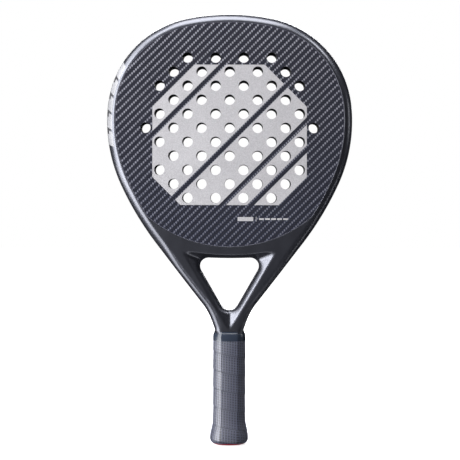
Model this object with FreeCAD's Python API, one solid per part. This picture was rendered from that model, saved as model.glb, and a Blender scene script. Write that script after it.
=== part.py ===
import FreeCAD, Part
import math
import os

from FreeCAD import Vector

# Padel racket: a hollow composite frame around a perforated foam core with two plied faces,
# and a wrapped octagonal handle. All sizes are millimetres.
#
# The origin is the centre of the butt's underside. +Z runs up to the tip of the head, the front
# face looks towards -Y, and +X is to the right when the front face is seen with the tip up.
# Outlines are drawn in the XZ plane as loops of curves, where a curve is two points (a straight
# line) or three points (an arc through the middle one), each point being (x, z).

# ------------------------------------------------------------------ head and throat outline
LENGTH = 455.0                      # butt to tip, the longest that the rules allow
HEAD_ARCS = ((222.1, 12.1), (104.5, 72.0), (160.7, 30.7), (327.1, 12.8))  # radius, turn in degrees
FLANK_LENGTH = 79.35                # straight run of the throat, below the last head arc
NECK_RADIUS = 64.2                  # hollow curve below the flank
NECK_HEADING = 110.0                # where that curve ends; a short straight run meets the handle
HANDLE_HALF_WIDTH = 15.1            # of the frame inside the grip

# ------------------------------------------------------------------ depth and shoulder
HALF_DEPTH = 19.0                   # half the face-to-face thickness, the thickest allowed
SPLIT_Z = 200.0                     # the head has full depth above here and the throat tapers below
HANDLE_HALF_DEPTH = 14.0
SHOULDER_WIDTH = 7.2                # rounded shoulder of the rim, measured inwards from the outline
SHOULDER_DEPTH = 10.0               # and backwards from the face
HANDLE_SHOULDER = 7.0               # the shoulder ends as the flat chamfer of the octagonal handle
SHOULDER_POWER = 1.5                # superellipse power of the rounded shoulder
CHAMFER_POWER = 1.0                 # the same for the flat chamfer
SHOULDER_STEPS = 6

# ------------------------------------------------------------------ face panels and core
RIM_WIDTH = 9.0                     # from the outline in to the edge of the face panels
PANEL_FOOT_RADIUS = 134.0           # lower edge of the panels
PANEL_FOOT_Z = 210.1
PANEL_CORNER_RADIUS = 20.0
PLY_THICKNESS = 0.3
PLIES_PER_FACE = 2
LEDGE_WIDTH = 2.3                   # how far the plies overlap the frame around the core

# ------------------------------------------------------------------ ball-side holes
HOLE_RADIUS = 5.5
HOLE_STEP = 14.75                   # half the pitch of the staggered grid, both ways
MIDDLE_ROW_Z = 334.8
HOLES_PER_ROW = (4, 5, 6, 5, 6, 7, 6, 5, 6, 5, 4)   # from the lowest row to the highest

# ------------------------------------------------------------------ throat opening and bevels
OPENING_APEX_Z = 131.8              # where the opening's two sides would meet below
OPENING_SLOPE = 29.9                # degrees from upright
OPENING_HALF_WIDTH = 38.6           # to the sharp upper corner
OPENING_CROWN_Z = 197.5
OPENING_FOOT_RADIUS = 11.0
OPENING_CORNER_RADIUS = 9.3
BEVEL_APEX_Z = 120.3                # where the two ridges of the bevel meet above the handle
BEVEL_SLOPE = 30.3
BEVEL_CORNER_Z = 207.2
BEVEL_CROWN_Z = 202.0
BEVEL_SIDE_PITCH = 41.0             # how steeply the bevels drop from the face, in degrees
BEVEL_BRIDGE_PITCH = 60.0
BRIDGE_JOINT_INSET = 20.0           # the bridge ends on planes this far inside the flanks

# ------------------------------------------------------------------ hollow inside
WALL = 1.9
RING_BORE_INSETS = (2.0, 7.0, 9.3)  # outer wall, end of its shoulder, inner wall
RING_BORE_HALF_DEPTHS = (11.0, 16.8)
ARM_BORE_INSETS = (2.5, 9.0)
ARM_BORE_HALF_DEPTH = 7.0
ARM_BORE_TOP = 202.0
BRIDGE_BORE_Z = (201.5, 207.0)
BRIDGE_BORE_HALF_DEPTH = 9.0
CENTRE_WALL = 2.4                   # between the two tube ends that lie side by side in the handle
CORD_POCKET_TOP = 14.0              # the handle's end is left empty for the wrist cord's knot
FOAM_TOP = 112.0

# ------------------------------------------------------------------ handle dressing
WRAP_THICKNESS = 1.4
GRIP_PROFILE = ((2.2, 17.3), (4.2, 18.9), (7.5, 19.5), (11.0, 19.25), (15.0, 18.45), (20.0, 17.35),
                (28.0, 16.5), (109.8, 16.5), (110.2, 16.05), (114.5, 15.95), (119.0, 15.2))
TAPE_PROFILE = ((110.2, 16.3), (111.0, 16.42), (113.6, 16.42), (116.6, 16.1), (118.8, 15.5),
                (119.8, 15.25))
CAP_PROFILE = ((2.2, 15.9), (4.2, 17.5), (7.5, 18.1), (11.0, 17.85), (15.0, 17.05), (20.0, 15.95))
PLATE_PROFILE = ((0.0, 11.0), (0.6, 14.2), (1.4, 16.2), (2.2, 17.2))
HANDLE_END = 5.0                    # the frame tube stops on the butt cap's floor
CORD_HOLE_RADIUS = 2.5
CORD_HOLE_X = 6.0

# ------------------------------------------------------------------ printed films on the faces
FILM_THICKNESS = 0.08
FILM_EDGES = (-5.5, 5.5, -5.5, 4.5) # left, right, low and high edge in hole steps, between holes
FILM_LOW_CHAMFER = 2                # length of the lower corners' chamfers, in hole steps
FILM_HIGH_CHAMFER = 3
FILM_SLOT = 5.5                     # width of the diagonal gaps between the bands
FILM_SLOT_LINES = (-5, 1, 5, 7)     # which diagonals between the rows of holes are left bare
BADGE_Z = 239.0
BADGE_BAR = (8.6, 25.0, 4.2)        # left end, right end and height of the bold bar
BADGE_DIVIDER = (27.8, 28.3, 5.0)
BADGE_DASHES = 5
BADGE_DASH_START = 31.2
BADGE_DASH_PITCH = 6.3
BADGE_DASH = (5.0, 1.7)             # length and height of one dash

FRONT = -1
REAR = 1
CENTRED = 1e-6                      # a point this close to the centre line counts as on it
ALONG_Y = Vector(0, 1, 0)
ALONG_Z = Vector(0, 0, 1)


# ================================================================== outlines

def polar(centre, radius, heading):
    """The point at a heading in degrees (0 is +Z, 90 is +X) and a distance from a centre."""
    angle = math.radians(heading)
    return (centre[0] + radius * math.sin(angle), centre[1] + radius * math.cos(angle))


def head_arcs():
    """The head's arcs as (centre, radius, first heading, last heading), then where they end."""
    arcs = []
    end = (0.0, LENGTH)
    heading = 0.0
    for radius, turn in HEAD_ARCS:
        centre = polar(end, -radius, heading)
        arcs.append((centre, radius, heading, heading + turn))
        heading += turn
        end = polar(centre, radius, heading)
    return arcs, end, heading


ARCS, FLANK_TOP, FLANK_HEADING = head_arcs()
FLANK_FOOT = polar(FLANK_TOP, FLANK_LENGTH, FLANK_HEADING + 90)
NECK_CENTRE = polar(FLANK_FOOT, NECK_RADIUS, FLANK_HEADING)
NECK_FOOT = polar(NECK_CENTRE, -NECK_RADIUS, NECK_HEADING)
FLANK_TILT = math.radians(FLANK_HEADING - 90)   # of the flank from upright
NECK_TILT = math.radians(NECK_HEADING - 90)     # of the straight run below the hollow curve
HANDLE_TOP = NECK_FOOT[1] - (NECK_FOOT[0] - HANDLE_HALF_WIDTH) / math.tan(NECK_TILT)


def half_width(z, inset=0.0):
    """Half the width of the throat or handle at a level, with its outline moved inwards."""
    flank_foot = polar(FLANK_FOOT, -inset, FLANK_HEADING)
    neck_foot = polar(NECK_FOOT, -inset, NECK_HEADING)
    if z >= flank_foot[1]:
        return flank_foot[0] + (z - flank_foot[1]) * math.tan(FLANK_TILT)
    if z >= neck_foot[1]:
        return NECK_CENTRE[0] - math.sqrt((NECK_RADIUS + inset) ** 2 - (z - NECK_CENTRE[1]) ** 2)
    return max(neck_foot[0] + (z - neck_foot[1]) * math.tan(NECK_TILT), HANDLE_HALF_WIDTH - inset)


def arc(centre, radius, first, last):
    """An arc between two headings, as a curve."""
    return [polar(centre, radius, heading) for heading in (first, (first + last) / 2, last)]


def mirrored(curves):
    """The left-hand twins of right-hand curves, in the order that goes on round the loop."""
    return [[(-x, z) for x, z in reversed(curve)] for curve in reversed(curves)]


def closed_loop(right):
    """A loop from its right-hand curves, with a straight line across if they end off centre."""
    x, z = right[-1][-1]
    across = [[(x, z), (-x, z)]] if x > CENTRED else []
    return right + across + mirrored(right)


def head_loop(inset):
    """The head's outline moved inwards, closed by a straight line at the split level."""
    right = [arc(centre, radius - inset, first, last) for centre, radius, first, last in ARCS]
    right.append([right[-1][-1], (half_width(SPLIT_Z, inset), SPLIT_Z)])
    return closed_loop(right)


def circle_meeting(centre_a, radius_a, centre_b, radius_b):
    """The lower right crossing point of two circles."""
    dx = centre_b[0] - centre_a[0]
    dz = centre_b[1] - centre_a[1]
    gap = math.hypot(dx, dz)
    along = (radius_a ** 2 - radius_b ** 2 + gap ** 2) / (2 * gap)
    aside = math.sqrt(radius_a ** 2 - along ** 2)
    x = centre_a[0] + (along * dx + aside * dz) / gap
    z = centre_a[1] + (along * dz - aside * dx) / gap
    other_x = centre_a[0] + (along * dx - aside * dz) / gap
    other_z = centre_a[1] + (along * dz + aside * dx) / gap
    return (x, z) if z < other_z else (other_x, other_z)


def heading_of(centre, point):
    """The heading in degrees from a centre to a point."""
    return math.degrees(math.atan2(point[0] - centre[0], point[1] - centre[1]))


def panel_loop(inset):
    """The edge of a face panel moved inwards: it follows the rim and closes with a flatter foot."""
    last_centre, last_radius, last_first, _ = ARCS[-1]
    foot_centre = (0.0, PANEL_FOOT_Z + PANEL_FOOT_RADIUS)
    corner_centre = circle_meeting(last_centre, last_radius - RIM_WIDTH - PANEL_CORNER_RADIUS,
                                   foot_centre, PANEL_FOOT_RADIUS - PANEL_CORNER_RADIUS)
    corner_first = heading_of(last_centre, corner_centre)
    corner_last = heading_of(foot_centre, corner_centre)
    move = RIM_WIDTH + inset
    right = [arc(centre, radius - move, first, last) for centre, radius, first, last in ARCS[:-1]]
    right.append(arc(last_centre, last_radius - move, last_first, corner_first))
    right.append(arc(corner_centre, PANEL_CORNER_RADIUS - inset, corner_first, corner_last))
    right.append(arc(foot_centre, PANEL_FOOT_RADIUS - inset, corner_last, 180.0))
    return closed_loop(right)


def triangle_loop(apex_z, slope, corner_z, crown_z):
    """A triangle standing on its apex, whose top edge is an arc through the crown."""
    corner = ((corner_z - apex_z) * math.tan(math.radians(slope)), corner_z)
    left_corner = (-corner[0], corner[1])
    return [[(0.0, apex_z), corner], [corner, (0.0, crown_z), left_corner],
            [left_corner, (0.0, apex_z)]]


def polygon_loop(points):
    """A closed loop of straight lines."""
    return [[points[i - 1], points[i]] for i in range(len(points))]


def rectangle(left, right, low, high):
    """A closed rectangular loop."""
    return polygon_loop([(left, low), (right, low), (right, high), (left, high)])


# ================================================================== solids from outlines

def wire(loop, y):
    """A loop as a wire at one depth."""
    edges = []
    for curve in loop:
        points = [Vector(x, y, z) for x, z in curve]
        shape = Part.LineSegment(*points) if len(points) == 2 else Part.Arc(*points)
        edges.append(shape.toShape())
    return Part.Wire(edges)


def plate(loop, first_y, last_y):
    """A plate with a loop for its outline, between two depths."""
    return Part.Face(wire(loop, first_y)).extrude(ALONG_Y * (last_y - first_y))


def loft(sections):
    """A ruled solid through closed wires, turned so that its inside is the material."""
    solid = Part.makeLoft(sections, True, True)
    if solid.Volume < 0:
        solid.reverse()
    return solid


def octagon(half_x, half_y, chamfer, z):
    """A closed octagonal wire in a horizontal plane."""
    inner_x = half_x - chamfer
    inner_y = half_y - chamfer
    corners = [(half_x, inner_y), (inner_x, half_y), (-inner_x, half_y), (-half_x, inner_y),
               (-half_x, -inner_y), (-inner_x, -half_y), (inner_x, -half_y), (half_x, -inner_y)]
    points = [Vector(x, y, z) for x, y in corners]
    return Part.makePolygon(points + points[:1])


def octagon_prism(half_x, half_y, chamfer, low_z, high_z):
    """An octagonal prism between two levels."""
    return Part.Face(octagon(half_x, half_y, chamfer, low_z)).extrude(ALONG_Z * (high_z - low_z))


def handle_loft(profile):
    """A solid around the handle from (level, half width) pairs, an octagon at each level."""
    sections = []
    for z, half_x in profile:
        half_y = half_x - HANDLE_HALF_WIDTH + HANDLE_HALF_DEPTH
        chamfer = HANDLE_SHOULDER * half_x / HANDLE_HALF_WIDTH
        sections.append(octagon(half_x, half_y, chamfer, z))
    return loft(sections)


# ================================================================== frame

def shoulder_curve(power):
    """Points of a superellipse quarter from (0, 0) on the side to (1, 1) on the face."""
    points = []
    for step in range(SHOULDER_STEPS + 1):
        angle = math.radians(90.0 * step / SHOULDER_STEPS)
        inward = 1 - math.cos(angle) ** (2 / power)
        outward = math.sin(angle) ** (2 / power)
        points.append((inward, outward))
    return points


def head_body():
    """The head at full depth, solid, with its rounded shoulders front and rear."""
    levels = []
    for inward, outward in shoulder_curve(SHOULDER_POWER):
        levels.append((inward * SHOULDER_WIDTH, HALF_DEPTH - SHOULDER_DEPTH * (1 - outward)))
    rear = [wire(head_loop(inset), y) for inset, y in levels]
    front = [wire(head_loop(inset), -y) for inset, y in reversed(levels)]
    return loft(front + rear)


def blend(z, at_handle, at_split):
    """A value that runs evenly from the handle's top to the split level."""
    share = (z - HANDLE_TOP) / (SPLIT_Z - HANDLE_TOP)
    return at_handle + (at_split - at_handle) * share


def throat_section(z):
    """The throat's horizontal section at a level, solid, with its four shoulders."""
    half_y = blend(z, HANDLE_HALF_DEPTH, HALF_DEPTH)
    depth = blend(z, HANDLE_SHOULDER, SHOULDER_DEPTH)
    width = blend(z, HANDLE_SHOULDER, SHOULDER_WIDTH / math.cos(FLANK_TILT))
    power = blend(z, CHAMFER_POWER, SHOULDER_POWER)
    quarter = []
    for inward, outward in shoulder_curve(power):
        quarter.append((half_width(z) - inward * width, half_y - depth * (1 - outward)))
    corners = quarter
    corners = corners + [(-x, y) for x, y in reversed(quarter)]
    corners = corners + [(-x, -y) for x, y in quarter]
    corners = corners + [(x, -y) for x, y in reversed(quarter)]
    points = [Vector(x, y, z) for x, y in corners]
    return Part.makePolygon(points + points[:1])


def throat_body():
    """The throat from the split level down to the handle's top, solid."""
    curve_steps = 4
    levels = [SPLIT_Z]
    for step in range(curve_steps + 1):
        levels.append(FLANK_FOOT[1] + (NECK_FOOT[1] - FLANK_FOOT[1]) * step / curve_steps)
    levels.append(HANDLE_TOP)
    return loft([throat_section(z) for z in levels])


def handle_body():
    """The straight octagonal part of the frame inside the grip, solid."""
    return octagon_prism(HANDLE_HALF_WIDTH, HANDLE_HALF_DEPTH, HANDLE_SHOULDER,
                         HANDLE_END, HANDLE_TOP)


def throat_opening():
    """The rounded triangle that passes right through the throat."""
    corner_z = OPENING_APEX_Z + OPENING_HALF_WIDTH / math.tan(math.radians(OPENING_SLOPE))
    sharp = plate(triangle_loop(OPENING_APEX_Z, OPENING_SLOPE, corner_z, OPENING_CROWN_Z),
                  -HALF_DEPTH - 1, HALF_DEPTH + 1)
    upright = [edge for edge in sharp.Edges if abs(edge.tangentAt(edge.FirstParameter).y) > 0.99]
    foot = [edge for edge in upright if abs(edge.CenterOfMass.x) < 1]
    corners = [edge for edge in upright if abs(edge.CenterOfMass.x) > 1]
    rounded = sharp.makeFillet(OPENING_CORNER_RADIUS, corners)
    foot = [edge for edge in rounded.Edges
            if abs(edge.tangentAt(edge.FirstParameter).y) > 0.99
            and (edge.CenterOfMass - foot[0].CenterOfMass).Length < 1e-3]
    return rounded.makeFillet(OPENING_FOOT_RADIUS, foot).Solids[0]


def bevel_loop(depth):
    """The bevel's outline at a depth below the face: it closes in as it goes deeper."""
    side = depth / math.tan(math.radians(BEVEL_SIDE_PITCH))
    bridge = depth / math.tan(math.radians(BEVEL_BRIDGE_PITCH))
    apex_z = BEVEL_APEX_Z + side / math.sin(math.radians(BEVEL_SLOPE))
    return triangle_loop(apex_z, BEVEL_SLOPE, BEVEL_CORNER_Z - bridge, BEVEL_CROWN_Z - bridge)


def throat_bevel(side):
    """The three bevels around the opening on one face, lying in the tapering throat's face."""
    proud = 2.0
    deep = 14.0
    solid = loft([wire(bevel_loop(-proud), side * (HALF_DEPTH + proud)),
                  wire(bevel_loop(deep), side * (HALF_DEPTH - deep))])
    taper = math.degrees(math.atan2(HALF_DEPTH - HANDLE_HALF_DEPTH, SPLIT_Z - HANDLE_TOP))
    solid.rotate(Vector(0, side * HALF_DEPTH, SPLIT_Z), Vector(1, 0, 0), -side * taper)
    return solid


def ring_bore():
    """The hollow that runs round the head inside the rim."""
    outer, shoulder, inner = RING_BORE_INSETS
    side, face = RING_BORE_HALF_DEPTHS
    levels = ((shoulder, -face), (outer, -side), (outer, side), (shoulder, face))
    around = loft([wire(head_loop(inset), y) for inset, y in levels])
    return around.cut(plate(head_loop(inner), -HALF_DEPTH, HALF_DEPTH))


def arm_bore_loop():
    """The right arm's hollow, which follows the flank and turns down into the handle."""
    outer, inner = ARM_BORE_INSETS
    sides = []
    for inset in (outer, inner):
        turn = arc(NECK_CENTRE, -NECK_RADIUS - inset, FLANK_HEADING, NECK_HEADING)
        sides.append([[(half_width(ARM_BORE_TOP, inset), ARM_BORE_TOP), turn[0]], turn,
                      [turn[-1], (HANDLE_HALF_WIDTH - inset, FOAM_TOP)]])
    back = [curve[::-1] for curve in reversed(sides[1])]
    foot = [[sides[0][-1][-1], back[0][0]]]
    head = [[back[-1][-1], sides[0][0][0]]]
    return sides[0] + foot + back + head


def handle_bores(low_z, high_z):
    """The two hollows side by side in the handle, with the centre wall left between them."""
    trim = WALL * (2 - math.sqrt(2))
    inside = octagon_prism(HANDLE_HALF_WIDTH - WALL, HANDLE_HALF_DEPTH - WALL,
                           HANDLE_SHOULDER - trim, low_z, high_z)
    centre = plate(rectangle(-CENTRE_WALL / 2, CENTRE_WALL / 2, low_z, high_z),
                   -HALF_DEPTH, HALF_DEPTH)
    return inside.cut(centre)


def cord_pocket():
    """The empty end of the handle, where the centre wall stops short of the butt cap."""
    return plate(rectangle(-CENTRE_WALL, CENTRE_WALL, HANDLE_END, CORD_POCKET_TOP),
                 -HANDLE_SHOULDER, HANDLE_SHOULDER)


def bridge_bore():
    """The hollow across the bridge, which follows the panels' foot."""
    low, high = BRIDGE_BORE_Z
    centre = (0.0, PANEL_FOOT_Z + PANEL_FOOT_RADIUS)
    reach = 30.0
    first, last = 180.0 - reach, 180.0 + reach
    lower = arc(centre, centre[1] - low, first, last)
    upper = arc(centre, centre[1] - high, last, first)
    loop = [lower, [lower[-1], upper[0]], upper, [upper[-1], lower[0]]]
    return plate(loop, -BRIDGE_BORE_HALF_DEPTH, BRIDGE_BORE_HALF_DEPTH)


def bridge_zone():
    """The block between the two arms that holds the whole bridge and nothing of the arms."""
    low = OPENING_CROWN_Z - 25.0
    high = PANEL_FOOT_Z + 45.0
    low_x = half_width(low, BRIDGE_JOINT_INSET)
    high_x = half_width(high, BRIDGE_JOINT_INSET)
    return plate(polygon_loop([(low_x, low), (high_x, high), (-high_x, high), (-low_x, low)]),
                 -HALF_DEPTH, HALF_DEPTH)


def ply_recess(side):
    """The shallow step that the plies of one face lie in."""
    return plate(panel_loop(0.0), side * (HALF_DEPTH - PLIES_PER_FACE * PLY_THICKNESS),
                 side * (HALF_DEPTH + 1))


def frame_pieces():
    """The frame tube and the bridge that is bonded between its arms."""
    body = head_body().fuse([throat_body(), handle_body()]).removeSplitter()
    core_pocket = plate(panel_loop(LEDGE_WIDTH), -HALF_DEPTH - 1, HALF_DEPTH + 1)
    body = body.cut([core_pocket, throat_opening(), throat_bevel(FRONT), throat_bevel(REAR),
                     ply_recess(FRONT), ply_recess(REAR)])
    zone = bridge_zone()
    bridge = body.common(zone).cut(bridge_bore())
    arm = plate(arm_bore_loop(), -ARM_BORE_HALF_DEPTH, ARM_BORE_HALF_DEPTH)
    other_arm = arm.mirror(Vector(0, 0, 0), Vector(1, 0, 0))
    tube = body.cut(zone)
    for bore in (ring_bore(), arm, other_arm, handle_bores(HANDLE_END, HANDLE_TOP), cord_pocket()):
        tube = tube.cut(bore)
    return tube, bridge


def handle_foam(side):
    """The foam plug in one of the handle's two hollows."""
    half = plate(rectangle(0.0, 2 * HANDLE_HALF_WIDTH, CORD_POCKET_TOP, FOAM_TOP),
                 -HALF_DEPTH, HALF_DEPTH)
    if side < 0:
        half = half.mirror(Vector(0, 0, 0), Vector(1, 0, 0))
    return handle_bores(CORD_POCKET_TOP, FOAM_TOP).common(half)


# ================================================================== core, plies and films

def hole_centres():
    """The (x, z) of every hole: staggered rows, each one centred on the head."""
    centres = []
    middle = len(HOLES_PER_ROW) // 2
    for row, count in enumerate(HOLES_PER_ROW):
        z = MIDDLE_ROW_Z + (row - middle) * HOLE_STEP
        for place in range(count):
            centres.append(((2 * place - count + 1) * HOLE_STEP, z))
    return centres


def hole_pins():
    """A cylinder through the head at every hole."""
    reach = HALF_DEPTH + 1
    return [Part.makeCylinder(HOLE_RADIUS, 2 * reach, Vector(x, -reach, z), ALONG_Y)
            for x, z in hole_centres()]


def eva_core(pins):
    """The foam block between the plies."""
    half_y = HALF_DEPTH - PLIES_PER_FACE * PLY_THICKNESS
    return plate(panel_loop(LEDGE_WIDTH), -half_y, half_y).cut(pins)


def ply(side, layer, pins):
    """One ply of a face, counting layers from the outside."""
    outer = HALF_DEPTH - layer * PLY_THICKNESS
    return plate(panel_loop(0.0), side * outer, side * (outer - PLY_THICKNESS)).cut(pins)


def film(loops, side):
    """A printed film of one or more patches, sunk flush into the outer ply of a face."""
    inner = side * (HALF_DEPTH - FILM_THICKNESS)
    patches = [plate(loop, inner, side * HALF_DEPTH) for loop in loops]
    return patches[0].fuse(patches[1:]) if len(patches) > 1 else patches[0]


def grid_loop(points, side):
    """A closed loop through points of the hole grid, counted in steps, as seen from one side."""
    return polygon_loop([(side * -column * HOLE_STEP, MIDDLE_ROW_Z + row * HOLE_STEP)
                         for column, row in points])


def band_film(side, pins):
    """The large pale film: a chamfered block cut into diagonal bands of uneven width."""
    left, right, low, high = FILM_EDGES
    foot, head = FILM_LOW_CHAMFER, FILM_HIGH_CHAMFER
    block = film([grid_loop([(left + foot, low), (right - foot, low), (right, low + foot),
                             (right, high - head), (right - head, high), (left + head, high),
                             (left, high - head), (left, low + foot)], side)], side)
    half_slot = FILM_SLOT / math.sqrt(2) / HOLE_STEP
    slots = []
    for line in FILM_SLOT_LINES:
        ends = [(line - half_slot + low, low), (line + half_slot + low, low),
                (line + half_slot + high, high), (line - half_slot + high, high)]
        slots.append(plate(grid_loop(ends, side), side * (HALF_DEPTH - 1), side * (HALF_DEPTH + 1)))
    return block.cut(slots).cut(pins)


def badge_film(side):
    """The small film under the holes: a bold bar, a thin divider and a row of dashes."""
    bars = [BADGE_BAR, BADGE_DIVIDER]
    length, height = BADGE_DASH
    for dash in range(BADGE_DASHES):
        start = BADGE_DASH_START + dash * BADGE_DASH_PITCH
        bars.append((start, start + length, height))
    loops = []
    for start, end, height in bars:
        left, right = sorted((side * -start, side * -end))
        loops.append(rectangle(left, right, BADGE_Z - height / 2, BADGE_Z + height / 2))
    return film(loops, side)


# ================================================================== handle dressing

def cord_holes():
    """The two holes in the butt for the wrist cord."""
    return [Part.makeCylinder(CORD_HOLE_RADIUS, HANDLE_END + 2, Vector(x, 0, -1), ALONG_Z)
            for x in (-CORD_HOLE_X, CORD_HOLE_X)]


def butt_plate():
    """The domed end plate under the butt cap."""
    return handle_loft(PLATE_PROFILE).cut(cord_holes())


def butt_cap(handle):
    """The flared cap that sleeves the handle's end."""
    return handle_loft(CAP_PROFILE).cut([handle] + cord_holes())


def grip(handle):
    """The grip as one sleeve over the handle and the butt cap's flare."""
    return handle_loft(GRIP_PROFILE).cut([handle, throat_body(), handle_loft(CAP_PROFILE)])


def finishing_tape(handle):
    """The tape that holds down the grip's upper end."""
    return handle_loft(TAPE_PROFILE).cut([handle, throat_body(), handle_loft(GRIP_PROFILE)])


def build():
    """Every sub-part, by node name."""
    pins = hole_pins()
    handle = handle_body()
    tube, bridge = frame_pieces()
    films = {side: (band_film(side, pins), badge_film(side)) for side in (FRONT, REAR)}
    return {
        "frame_tube": tube,
        "throat_bridge": bridge,
        "eva_core": eva_core(pins),
        "front_carbon_ply": ply(FRONT, 0, pins).cut(films[FRONT]),
        "front_glass_ply": ply(FRONT, 1, pins),
        "rear_carbon_ply": ply(REAR, 0, pins).cut(films[REAR]),
        "rear_glass_ply": ply(REAR, 1, pins),
        "front_band_film": films[FRONT][0],
        "front_badge_film": films[FRONT][1],
        "rear_band_film": films[REAR][0],
        "rear_badge_film": films[REAR][1],
        "handle_foam_left": handle_foam(-1),
        "handle_foam_right": handle_foam(1),
        "butt_cap": butt_cap(handle),
        "butt_plate": butt_plate(),
        "grip": grip(handle),
        "finishing_tape": finishing_tape(handle),
    }


os.makedirs("parts", exist_ok=True)
for name, shape in build().items():
    box = shape.BoundBox
    print(f"{name}: {len(shape.Solids)} solids, {shape.Volume / 1000:.1f} cm3, valid {shape.isValid()}, "
          f"x {box.XMin:.2f}..{box.XMax:.2f} y {box.YMin:.2f}..{box.YMax:.2f} z {box.ZMin:.2f}..{box.ZMax:.2f}")
    shape.exportStep(f"parts/{name}.step")
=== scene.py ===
import math

import bmesh
import bpy
import numpy as np
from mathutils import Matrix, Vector, geometry


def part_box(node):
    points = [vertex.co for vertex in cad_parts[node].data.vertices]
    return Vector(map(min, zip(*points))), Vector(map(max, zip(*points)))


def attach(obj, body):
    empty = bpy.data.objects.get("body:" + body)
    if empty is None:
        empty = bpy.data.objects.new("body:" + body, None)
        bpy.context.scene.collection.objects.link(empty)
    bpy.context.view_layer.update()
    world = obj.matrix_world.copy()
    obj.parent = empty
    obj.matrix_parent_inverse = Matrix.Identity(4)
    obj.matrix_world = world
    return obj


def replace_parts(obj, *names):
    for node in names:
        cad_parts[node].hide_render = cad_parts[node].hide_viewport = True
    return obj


# The looks of a padel racket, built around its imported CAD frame. Sizes in this script are
# millimetres and become metres when a mesh is made. +Z runs from the butt to the head's tip and the
# front face looks towards -Y. Outlines lie in the XZ plane, and a heading is an angle in degrees
# from +Z towards +X.

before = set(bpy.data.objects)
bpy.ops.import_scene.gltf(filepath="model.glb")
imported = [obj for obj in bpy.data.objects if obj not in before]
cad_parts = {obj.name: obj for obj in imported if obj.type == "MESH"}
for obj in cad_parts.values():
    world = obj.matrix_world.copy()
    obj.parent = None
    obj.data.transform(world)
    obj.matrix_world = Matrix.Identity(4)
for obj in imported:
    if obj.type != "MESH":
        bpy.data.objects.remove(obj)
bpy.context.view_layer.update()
METRE = 1000.0


def extent(node):
    """The lowest and highest corners of a CAD node, in millimetres."""
    low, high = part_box(node)
    return low * METRE, high * METRE


# ---- sizes taken from the frame
TUBE_LOW, TUBE_HIGH = extent("frame_tube")
LENGTH = TUBE_HIGH.z
HALF_DEPTH = TUBE_HIGH.y
HANDLE_END = TUBE_LOW.z
PANEL_LOW, PANEL_HIGH = extent("front_carbon_ply")
RIM_WIDTH = LENGTH - PANEL_HIGH.z
PANEL_FOOT_Z = PANEL_LOW.z
GRIP_LOW = extent("grip")[0]
TAPE_LOW, TAPE_HIGH = extent("finishing_tape")
PLATE_LOW, PLATE_HIGH = extent("butt_plate")
CORE_HIGH = extent("eva_core")[1]
CORE_HALF_DEPTH = CORE_HIGH.y
LEDGE_WIDTH = PANEL_HIGH.z - CORE_HIGH.z

# ---- outline of head and throat
HEAD_ARCS = ((222.1, 12.1), (104.5, 72.0), (160.7, 30.7), (327.1, 12.8))  # radius, turn
FLANK_LENGTH = 79.35
NECK_RADIUS = 64.2
NECK_HEADING = 110.0
HANDLE_HALF_WIDTH = 15.1
NECK_FILLET = 14.0  # softens the corner where the neck meets the handle
PANEL_FOOT_RADIUS = 134.0
PANEL_CORNER_RADIUS = 20.0
OUTLINE_SPACING = 1.6  # between neighbouring points of an outline

# ---- depth, shoulder and bevels
TAPER_TOP = 200.0
HANDLE_TOP = 121.5
TAPER_SOFTNESS = (4.0, 8.0)  # rounding of the taper in depth at its foot and at its head
HANDLE_HALF_DEPTH = 14.0
RIM_SHOULDER = (8.6, 10.0, 1.65)  # width, depth and superellipse power of the head's shoulder
ARM_SHOULDER = (6.3, 6.8, 2.0)
NECK_SHOULDER = (7.0, 8.0, 2.2)
HANDLE_SHOULDER = (7.0, 7.0, 1.12)  # nearly a flat chamfer
NECK_FOOT_LEVELS = (116.0, 121.0)  # the levels between which one shoulder turns into the next
ARM_FOOT = (138.0, 165.0)
ARM_HEAD = (180.0, 212.0)
OPENING_APEX_Z = 131.8
OPENING_SLOPE = 29.9
OPENING_HALF_WIDTH = 38.6
OPENING_CROWN_Z = 197.5
OPENING_FOOT_RADIUS = 11.0
OPENING_CORNER_RADIUS = 9.3
OPENING_EDGE = 5.0  # rounding where the bevels turn into the opening's wall
OPENING_EDGE_STEPS = 10
OPENING_SPACING = 0.9
BEVEL_APEX_Z = 121.0
BEVEL_SLOPE = 30.3
BEVEL_CORNER_Z = 207.2
BEVEL_CROWN_Z = 201.0
BEVEL_SIDE_PITCH = 32.0
BEVEL_BRIDGE_PITCH = 60.0
BEVEL_BLEND = 10.0  # rounding of the crease between the bridge's bevel and a side's
VALLEY_SOFTNESS = 1.5  # rounding of the valley between the two side bevels
RIDGE_SOFTNESS = 0.9  # how far the ridge's rounding reaches to each side
GROOVE_WIDTH = 0.35  # fine groove around each face panel
GROOVE_DEPTH = 0.3

# ---- handle dressing
WRAP_THICKNESS = 1.4
GRIP_PROFILE = ((2.2, 17.3), (4.2, 18.9), (7.5, 19.5), (11.0, 19.25), (15.0, 18.45), (20.0, 17.4),
                (24.0, 16.75), (30.0, 16.5), (60.0, 16.45), (110.2, 16.45))
TAPE_PROFILE = ((110.2, 16.35), (111.0, 16.42), (113.6, 16.42), (116.6, 16.1), (118.8, 15.55),
                (119.8, 15.3))
PLATE_PROFILE = ((0.0, 11.0), (0.15, 12.6), (0.6, 14.2), (1.4, 16.2), (2.2, 17.2))
WRAP_PITCH = 19.3  # height of one turn of the strip
WRAP_SEAM_Z = 95.4  # a seam's height at the middle of the front
WRAP_STEP = 0.35  # how far a turn stands proud of the one below it
PIT_ALONG = 2.78  # spacing of the perforations along the strip
PIT_ACROSS = 2.64
PIT_RADIUS = 1.05
PIT_DEPTH = 0.25
PIT_FADE_LOW = (0.9, 1.3)  # from the strip's lower edge, where the perforations begin
PIT_FADE_HIGH = (0.9, 0.5)  # from its upper edge, where they end
LAP_RAMP = 0.035  # share of a turn over which it climbs onto the one below
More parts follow.
